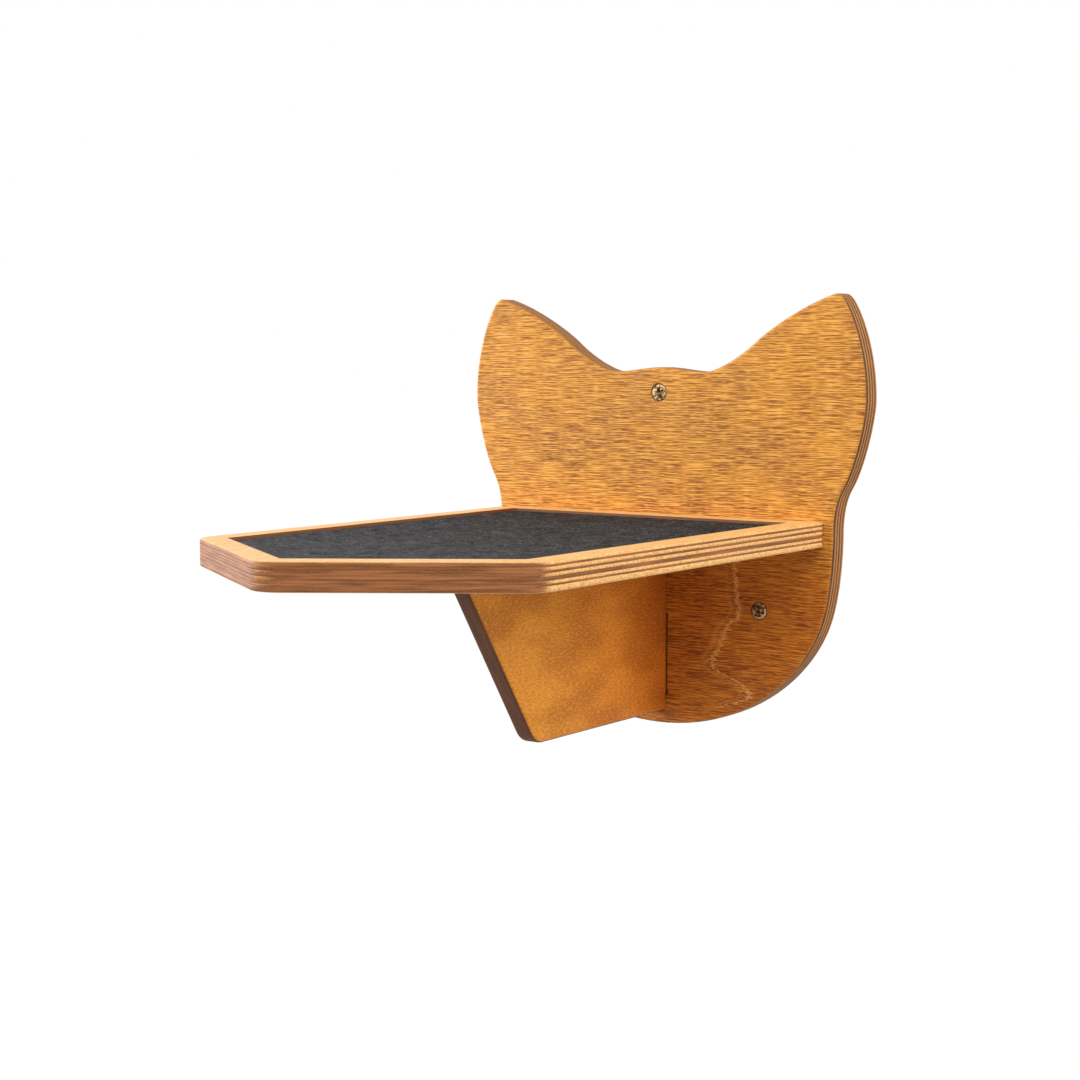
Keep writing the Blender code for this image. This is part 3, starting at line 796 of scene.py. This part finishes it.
def mat_height(x, y):
    """Height over the mat: for each layer, random heights on a square net of that size, read
    between its corners with the easing 3f^2 - 2f^3."""
    random = np.random.default_rng(7)
    total = np.zeros(x.shape)
    for size, height in FELT_LAYERS:
        column, row = (x - carpet_low.x) / size, (y - carpet_low.y) / size
        span = (carpet_high - carpet_low) / size
        net = random.uniform(-1, 1, (int(span.x) + 3, int(span.y) + 3))
        i, j = column.astype(int), row.astype(int)
        u, v = ((3 * f**2 - 2 * f**3) for f in (column - i, row - j))
        total += height * (
            net[i, j] * (1 - u) * (1 - v) + net[i + 1, j] * u * (1 - v)
            + net[i, j + 1] * (1 - u) * v + net[i + 1, j + 1] * u * v
        )
    return total


def carpet_outline(inset):
    """The pad's outline as even points, for the mat to follow."""
    corners = rounded_polygon(
        shelf_corners, [CARPET_CORNER_RADIUS + RIM_WIDTH] * 5, [RIM_WIDTH + CARPET_SIDE_GAP + inset] * 5
    )
    closed = np.vstack([corners, corners[:1]])
    reach = np.concatenate([[0], np.cumsum(np.linalg.norm(np.diff(closed, axis=0), axis=1))])
    even = np.linspace(0, reach[-1], CARPET_POINTS, endpoint=False)
    return np.stack([np.interp(even, reach, closed[:, 0]), np.interp(even, reach, closed[:, 1])], 1)


def loose_fibres(border, middle):
    """Fibres on the mat, each a triangle carried along p + L (s - 1/2) d + b sin(pi s) n, where d
    is its direction, n the level normal and s runs from 0 to 1, risen by h sin(pi s) above the
    mat."""
    random = np.random.default_rng(11)
    inwards = 1 - FIBRE_REACH * np.sqrt(random.uniform(0, 1, (FIBRE_COUNT, 1)))
    rim_points = border[random.integers(0, len(border), FIBRE_COUNT)]
    start = rim_points + (middle - rim_points) * inwards
    angle = random.uniform(0, 2 * math.pi, (FIBRE_COUNT, 1))
    direction = np.hstack([np.cos(angle), np.sin(angle)])
    normal = np.hstack([-np.sin(angle), np.cos(angle)])
    length = random.uniform(*FIBRE_LENGTHS, (FIBRE_COUNT, 1, 1))
    bend = random.normal(0, FIBRE_BEND, (FIBRE_COUNT, 1, 1)) * length
    s = np.linspace(0, 1, FIBRE_STEPS)[None, :, None]
    arch = np.sin(math.pi * s)
    path = start[:, None, :2] + (s - 0.5) * length * direction[:, None] + bend * arch * normal[:, None]
    rise = random.uniform(FIBRE_LEAST_ARCH, 1, (FIBRE_COUNT, 1, 1)) * FIBRE_ARCH
    height = mat_height(path[..., 0], path[..., 1])[..., None] + arch * rise
    around = np.radians((90, 210, 330))
    sideways = np.cos(around)[None, None, :, None] * normal[:, None, None]
    upwards = np.broadcast_to(np.sin(around)[:, None], (FIBRE_COUNT, FIBRE_STEPS, 3, 1))
    flat = path[:, :, None] + FIBRE_RADIUS * sideways
    return np.concatenate([flat, carpet_top + height[:, :, None] + FIBRE_RADIUS * upwards], -1)


# The wall rises to the rounding, then the top draws in ring by ring to the middle
turn = np.linspace(0, math.pi / 2, CARPET_ROUNDING_ROWS)
carpet_top = carpet_high.z - FELT_ROOM
carpet_rows = [level(carpet_outline(0), carpet_low.z)] + [
    level(carpet_outline(CARPET_ROUNDING * (1 - math.cos(a))),
          carpet_top - CARPET_ROUNDING * (1 - math.sin(a)))
    for a in turn
]
border = carpet_rows[-1]
middle = border.mean(0)
for share in np.linspace(0, 1, CARPET_RINGS)[1:-1]:
    carpet_rows.append(border + (middle - border) * share)
carpet_band = np.array(carpet_rows)
fade = np.clip((np.arange(len(carpet_band)) - 1) / (CARPET_ROUNDING_ROWS - 1), 0, 1)[:, None]
carpet_band[..., 2] += fade * mat_height(carpet_band[..., 0], carpet_band[..., 1])
carpet = board("needle_felt_carpet", [carpet_band], [[(0, 0)], [(0, -1)]])

fibre_points = loose_fibres(border[:, :2], middle[:2])
fibre_points[..., 2] = np.minimum(fibre_points[..., 2], carpet_high.z)
fibre_index = np.arange(fibre_points.size // 3).reshape(fibre_points.shape[:3])
after = np.roll(fibre_index, -1, 2)
fibre_sides = np.stack([fibre_index[:, :-1], after[:, :-1], after[:, 1:], fibre_index[:, 1:]], -1)
fibre_ends = np.concatenate([fibre_index[:, 0, ::-1], fibre_index[:, -1]])
fibre_mesh = bpy.data.meshes.new("fibres")
fibre_mesh.from_pydata(
    fibre_points.reshape(-1, 3), [], fibre_sides.reshape(-1, 4).tolist() + fibre_ends.tolist()
)
joined = bmesh.new()
joined.from_mesh(carpet.data)
joined.from_mesh(fibre_mesh)
joined.to_mesh(carpet.data)
joined.free()
bpy.data.meshes.remove(fibre_mesh)
carpet.data.shade_smooth()
carpet.data.set_sharp_from_angle(angle=math.pi)

# The felt's patterns, its mix of fibres and its wear, each as a size in millimetres, detail and
# roughness. Fibres show grey by their height over the mat and black in between.
FELT_PATTERNS = ((1.4, 5.0, 0.8), (35, 2.0, 0.5))
FELT_BLACKS = ("191818", "2B2929")
FELT_GREY = "767576"
GREY_SHOWS = (0.47, 0.72)
RAISED_HEIGHTS = (-0.25 * MM, 0.35 * MM)
RAISED_SHIFTS = (-0.12, 0.06)
# Painted light and shade on the felt's ground: its factor at the front and at the plate
PAINTED_SHADE_TONES = (1.7, 0.3)
FELT_BUMP = 0.6
FELT_RELIEF = 0.3 * MM
FELT_ROUGHNESS = 0.8
FELT_SHINE = 0.13


def needle_felt():
    """Charcoal polypropylene felt: black and grey fibres mixed, matt, with the shine of plastic
    fibre when looked at along the mat. The fibres that lie highest are the palest."""
    material, tree, shader = new_finish("charcoal_needle_felt")
    place = add(tree, "ShaderNodeTexCoord")
    pattern = []
    for size, detail, roughness in FELT_PATTERNS:
        scaled = add(tree, "ShaderNodeMapping", {
            "Vector": place.outputs["Object"], "Scale": [1 / (size * MM)] * 3,
        })
        pattern.append(add(tree, "ShaderNodeTexNoise", {
            "Vector": scaled.outputs[0], "Scale": 1.0, "Detail": detail, "Roughness": roughness,
        }).outputs[0])
    fibres, wear = pattern
    ground = add(tree, "ShaderNodeMix", {
        0: wear, 6: linear(FELT_BLACKS[0]), 7: linear(FELT_BLACKS[1]),
    }, data_type="RGBA")
    place_parts = add(tree, "ShaderNodeSeparateXYZ", {0: place.outputs["Object"]})
    raised = add(tree, "ShaderNodeMapRange", {
        0: place_parts.outputs["Z"],
        1: carpet_top + RAISED_HEIGHTS[0], 2: carpet_top + RAISED_HEIGHTS[1],
        3: RAISED_SHIFTS[0], 4: RAISED_SHIFTS[1],
    })
    # Painted light and shade: the felt's ground is painted lighter at the front and darker towards the
    # plate
    felt_painted_shade = add(tree, "ShaderNodeMapRange", {
        0: place_parts.outputs["Y"], 1: carpet_low.y, 2: carpet_high.y,
        3: PAINTED_SHADE_TONES[0], 4: PAINTED_SHADE_TONES[1],
    })
    ground = add(tree, "ShaderNodeVectorMath", {0: ground.outputs[2], "Scale": felt_painted_shade.outputs[0]},
                 operation="SCALE")
    lifted = add(tree, "ShaderNodeMath", {0: fibres, 1: raised.outputs[0]}, operation="ADD")
    share = add(tree, "ShaderNodeMapRange", {0: lifted.outputs[0], 1: GREY_SHOWS[0], 2: GREY_SHOWS[1]})
    colour = add(tree, "ShaderNodeMix", {
        0: share.outputs[0], 6: ground.outputs["Vector"], 7: linear(FELT_GREY),
    }, data_type="RGBA")
    tree.links.new(colour.outputs[2], shader.inputs["Base Color"])
    bump = add(tree, "ShaderNodeBump", {
        "Strength": FELT_BUMP, "Distance": FELT_RELIEF, "Height": fibres,
    })
    tree.links.new(bump.outputs[0], shader.inputs["Normal"])
    shader.inputs["Roughness"].default_value = FELT_ROUGHNESS
    shader.inputs["Specular IOR Level"].default_value = FELT_SHINE
    return material


carpet.data.materials.append(needle_felt())
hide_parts("carpet_pad")
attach(carpet, "root")

# Screws
# Countersunk wood screws with a cross recess and a rolled thread. Yellow zinc for the three
# that hold the plate to the wall, bright zinc for those that hold the boards together.
THREAD_PITCH = 2.1 * MM
THREAD_SHARE = 0.34
CORE_SHARE = 0.68
POINT_LENGTH = 6 * MM
THREAD_ROWS_PER_PITCH = 10
RIM_ROWS = 5
CROSS_REACH = 2.9 * MM
CROSS_HALF_WIDTH = 1.0 * MM
CROSS_DEPTH = 2.0 * MM
CROSS_TAPER = 0.42
LEAST_TAPER = 0.02
BATH_CLOUD = 1.1 * MM
BATH_TONES = (0.40, 0.62)
BATH_RANGE = (0.3, 0.7)
ZINC_ROUGHNESS = (0.30, 0.55)
ZINC_BUMP = 0.3
ZINC_RELIEF = 0.05 * MM


def zinc(name, dark, light):
    """Zinc-plated steel: a soft metal gloss, clouded dark and light by the bath."""
    material, tree, shader = new_finish(name)
    place = add(tree, "ShaderNodeTexCoord")
    cloud = add(tree, "ShaderNodeMapping", {
        "Vector": place.outputs["Object"], "Scale": [1 / BATH_CLOUD] * 3,
    })
    cloud = add(tree, "ShaderNodeTexNoise", {"Vector": cloud.outputs[0], "Scale": 1.0, "Detail": 3.0})
    rough = add(tree, "ShaderNodeMapRange", {
        0: cloud.outputs[0], 1: BATH_RANGE[0], 2: BATH_RANGE[1],
        3: ZINC_ROUGHNESS[0], 4: ZINC_ROUGHNESS[1],
    })
    tree.links.new(rough.outputs[0], shader.inputs["Roughness"])
    bump = add(tree, "ShaderNodeBump", {
        "Strength": ZINC_BUMP, "Distance": ZINC_RELIEF, "Height": cloud.outputs[0],
    })
    tree.links.new(bump.outputs[0], shader.inputs["Normal"])
    tone = add(tree, "ShaderNodeMapRange", {0: cloud.outputs[0], 1: BATH_TONES[0], 2: BATH_TONES[1]})
    colour = add(tree, "ShaderNodeMix", {0: tone.outputs[0], 6: linear(dark), 7: linear(light)},
                 data_type="RGBA")
    tree.links.new(colour.outputs[2], shader.inputs["Base Color"])
    shader.inputs["Metallic"].default_value = 1.0
    return material


def wood_screw(node, finish):
    """One screw: a (radius, height) profile turned about its axis. Along the thread the radius
    rises from the core to the full radius where h / pitch + a / turn is near a half."""
    head_at, head_radius, length = screw_place(node)
    axis, thread_radius, degrees = SCREWS[node]
    core = thread_radius * CORE_SHARE
    cone_foot = -SCREW_RIM - head_radius + thread_radius
    thread_top = cone_foot - 2 * SCREW_RIM
    rows = int((length + thread_top) / THREAD_PITCH * THREAD_ROWS_PER_PITCH)
    thread_heights = np.linspace(thread_top, -length, rows)
    taper = np.clip((thread_heights + length) / POINT_LENGTH, LEAST_TAPER, 1)
    rim = np.linspace(0, math.pi / 2, RIM_ROWS)
    heights = np.concatenate([SCREW_RIM * (np.cos(rim) - 1), [cone_foot], thread_heights])
    radii = np.concatenate([
        head_radius - SCREW_RIM * (1 - np.sin(rim)), [core + SCREW_RIM / 4], core * taper,
    ])
    rise = np.concatenate([np.zeros(RIM_ROWS + 1), (thread_radius - core) * taper])
    rise[RIM_ROWS + 1:][:THREAD_ROWS_PER_PITCH] *= np.linspace(0, 1, THREAD_ROWS_PER_PITCH)
    angle = np.linspace(0, 2 * math.pi, ROUND_STEPS, endpoint=False)
    phase = (heights[:, None] / THREAD_PITCH + angle / (2 * math.pi)) % 1
    tooth = np.clip(1 - np.abs(2 * phase - 1) / THREAD_SHARE, 0, 1)
    radius = radii[:, None] + rise[:, None] * tooth
    points = np.stack([
        radius * np.cos(angle), radius * np.sin(angle), np.repeat(heights[:, None], ROUND_STEPS, 1),
    ], -1)
    screw = board(node + "_threaded", [stood(points, head_at, axis)], [[(0, 0)], [(0, -1)]])

    # The recess: a cross of four arms that narrows towards its floor
    a, b = CROSS_REACH, CROSS_HALF_WIDTH
    cross = np.array([
        (a, -b), (a, b), (b, b), (b, a), (-b, a), (-b, b), (-a, b), (-a, -b), (-b, -b), (-b, -a),
        (b, -a), (b, -b),
    ])
    recess_rows = np.stack([
        level(cross, OVERRUN / 2), level(cross, 0), level(cross * CROSS_TAPER, -CROSS_DEPTH),
    ])
    recess = board(node + "_recess", [stood(recess_rows, head_at, axis, degrees)], [[(0, 0)], [(0, -1)]])
    cut(screw, [recess])
    screw.data.materials.append(finish)
    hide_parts(node)
    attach(screw, "root")


# Yellow passivation leaves brown and straw clouds, bright zinc only two greys
yellow_zinc = zinc("yellow_zinc_steel", "443A28", "C8A87C")
bright_zinc = zinc("bright_zinc_steel", "9C9CA0", "D8D8DA")
for node in SCREWS:
    wood_screw(node, yellow_zinc if node.startswith("wall") else bright_zinc)

# Room
# A plain white room: a pale floor well below the step, white all round for the camera, and soft
# lamps in front, at the left and at the right, as in a product photographer's tent.
FLOOR_DROP = 0.9
FLOOR_SIZE = 30
FLOOR_GLOW = 1.06
FLOOR_GLOW_SHARE = 0.94
FLOOR_COLOUR = "A4A4A4"
FLOOR_ROUGHNESS = 0.9
floor_mesh = bpy.data.meshes.new("floor")
floor_mesh.from_pydata(
    [(x * FLOOR_SIZE, y * FLOOR_SIZE, -FLOOR_DROP) for x, y in ((-1, -1), (1, -1), (1, 1), (-1, 1))],
    [], [(0, 1, 2, 3)],
)
floor = bpy.data.objects.new("floor", floor_mesh)
bpy.context.scene.collection.objects.link(floor)


def seen_share(tree, most):
    """A socket that is most for rays that look at a thing and 0 for rays that light one."""
    rays = add(tree, "ShaderNodeLightPath").outputs
    seen = add(tree, "ShaderNodeMath", {0: rays["Is Camera Ray"], 1: rays["Is Glossy Ray"]},
               operation="ADD")
    seen = add(tree, "ShaderNodeMath", {0: seen.outputs[0], 1: rays["Is Transmission Ray"]},
               operation="ADD")
    return add(tree, "ShaderNodeMapRange", {0: seen.outputs[0], 4: most}).outputs[0]


floor_finish, tree, shader = new_finish("pale_floor")
shader.inputs["Base Color"].default_value = linear(FLOOR_COLOUR)
shader.inputs["Roughness"].default_value = FLOOR_ROUGHNESS
glow = add(tree, "ShaderNodeEmission", {"Color": (1, 1, 1, 1), "Strength": FLOOR_GLOW})
mixed = add(tree, "ShaderNodeMixShader", {
    0: seen_share(tree, FLOOR_GLOW_SHARE), 1: shader.outputs[0], 2: glow.outputs[0],
})
tree.links.new(mixed.outputs[0], tree.nodes["Surface"].inputs["Surface"])
floor_mesh.materials.append(floor_finish)

# Things are lit by a part of the white that the camera and reflections see
AMBIENT = 0.46
world = bpy.data.worlds.new("white_tent")
bpy.context.scene.world = world
world.use_nodes = True
tree = world.node_tree
tree.nodes.clear()
strength = add(tree, "ShaderNodeMath", {0: seen_share(tree, 1 - AMBIENT), 1: AMBIENT}, operation="ADD")
background = add(tree, "ShaderNodeBackground", {"Color": (1, 1, 1, 1), "Strength": strength.outputs[0]})
add(tree, "ShaderNodeOutputWorld", {"Surface": background.outputs[0]})

# Each lamp: its direction from the step, in degrees round to the right and up, and its watts
LAMPS = {
    "front_softbox": (0, 20, 9),
    "left_softbox": (-76, 14, 54),
    "right_softbox": (45, 45, 16),
    "side_softbox": (101, 16, 22),
}
LAMP_DISTANCE = 1.9
LAMP_SIZE = 1.2
LIT_PLACE = Vector((0, -0.13, 0))
for name, (round_right, up, power) in LAMPS.items():
    lamp = bpy.data.lights.new(name, "AREA")
    lamp.shape = "SQUARE"
    lamp.size = LAMP_SIZE
    lamp.energy = power
    lamp_object = bpy.data.objects.new(name, lamp)
    turn, rise = math.radians(round_right), math.radians(up)
    way = Vector((math.sin(turn) * math.cos(rise), -math.cos(turn) * math.cos(rise), math.sin(rise)))
    lamp_object.location = LIT_PLACE + LAMP_DISTANCE * way
    lamp_object.rotation_euler = (-way).to_track_quat("-Z", "Y").to_euler()
    bpy.context.scene.collection.objects.link(lamp_object)

bpy.context.scene.view_settings.view_transform = "Standard"
